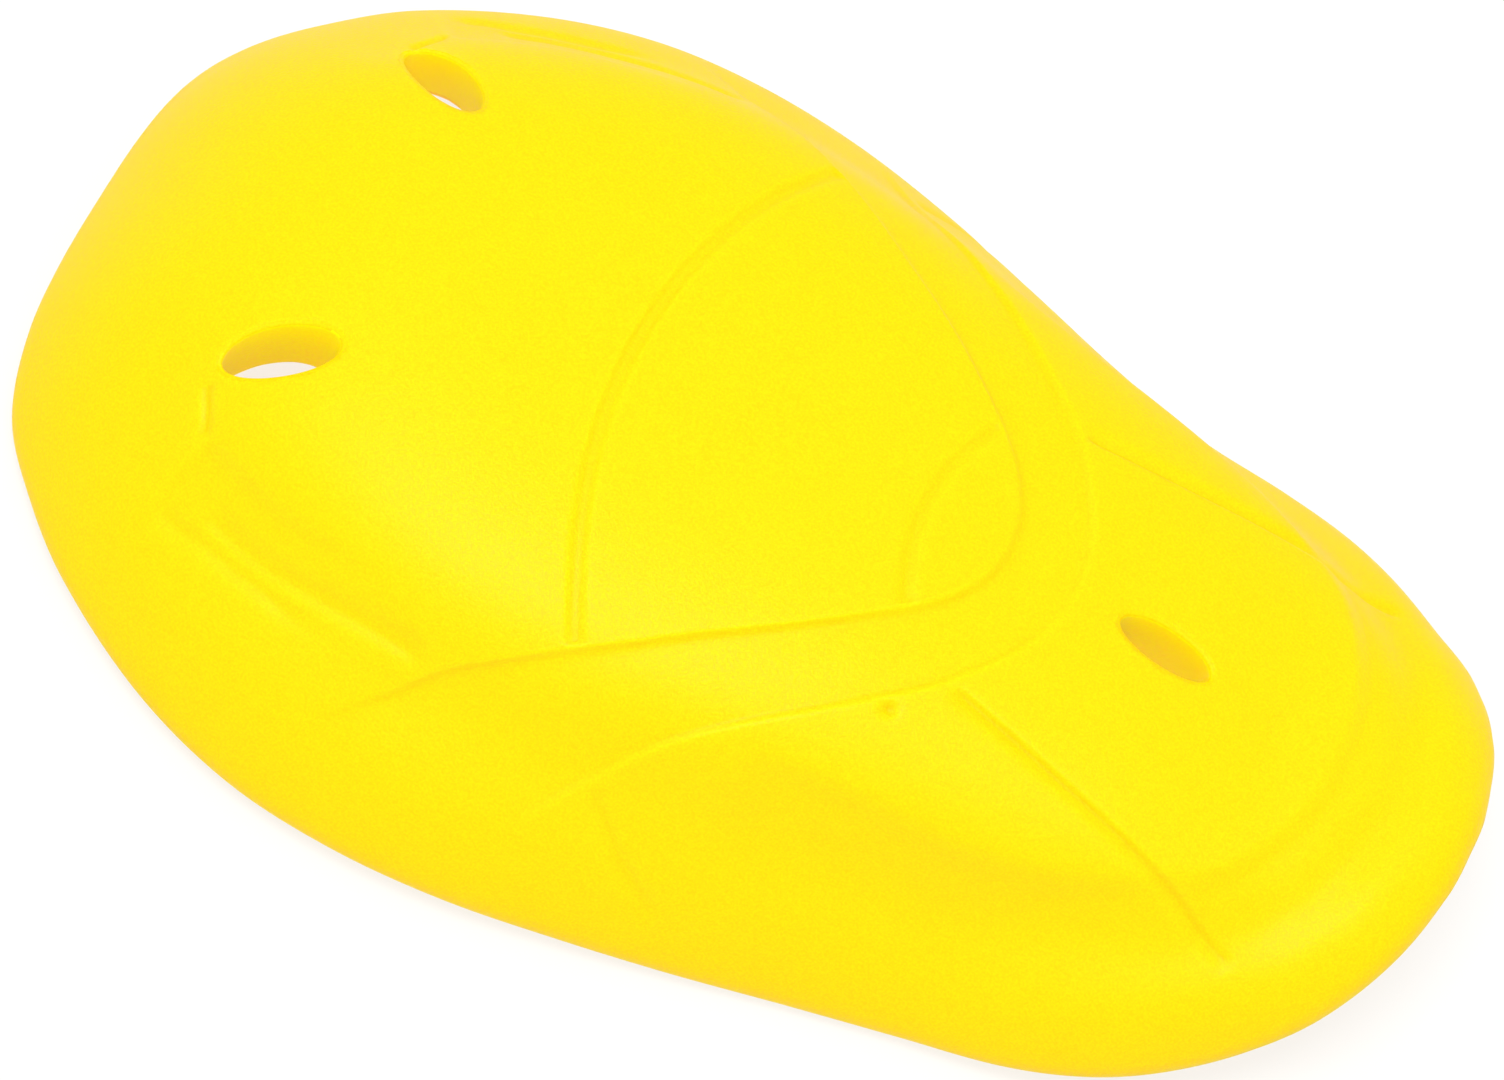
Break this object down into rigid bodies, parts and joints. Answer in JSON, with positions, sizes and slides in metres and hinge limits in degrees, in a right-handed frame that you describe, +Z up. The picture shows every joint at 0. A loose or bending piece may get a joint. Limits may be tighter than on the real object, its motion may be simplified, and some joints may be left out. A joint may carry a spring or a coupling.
{
  "type": "shoulder protector",
  "caption": "Soft moulded foam shoulder cup with a raised tongue, a valley inside its rolled rim and oval slots through the pad",
  "frame": {"origin": "on the floor under the middle of the pad, midway between its two ends", "axes": "+X along the pad from the wide end to the narrow end, +Y across it, +Z up out of the crown"},
  "size_m": [0.2118, 0.1396, 0.0468],
  "materials": {
    "foam": "moulded soft polyurethane foam with a satin, finely speckled skin"
  },
  "bodies": {
    "root": {"shoulder_pad": "foam"}
  },
  "joints": []
}
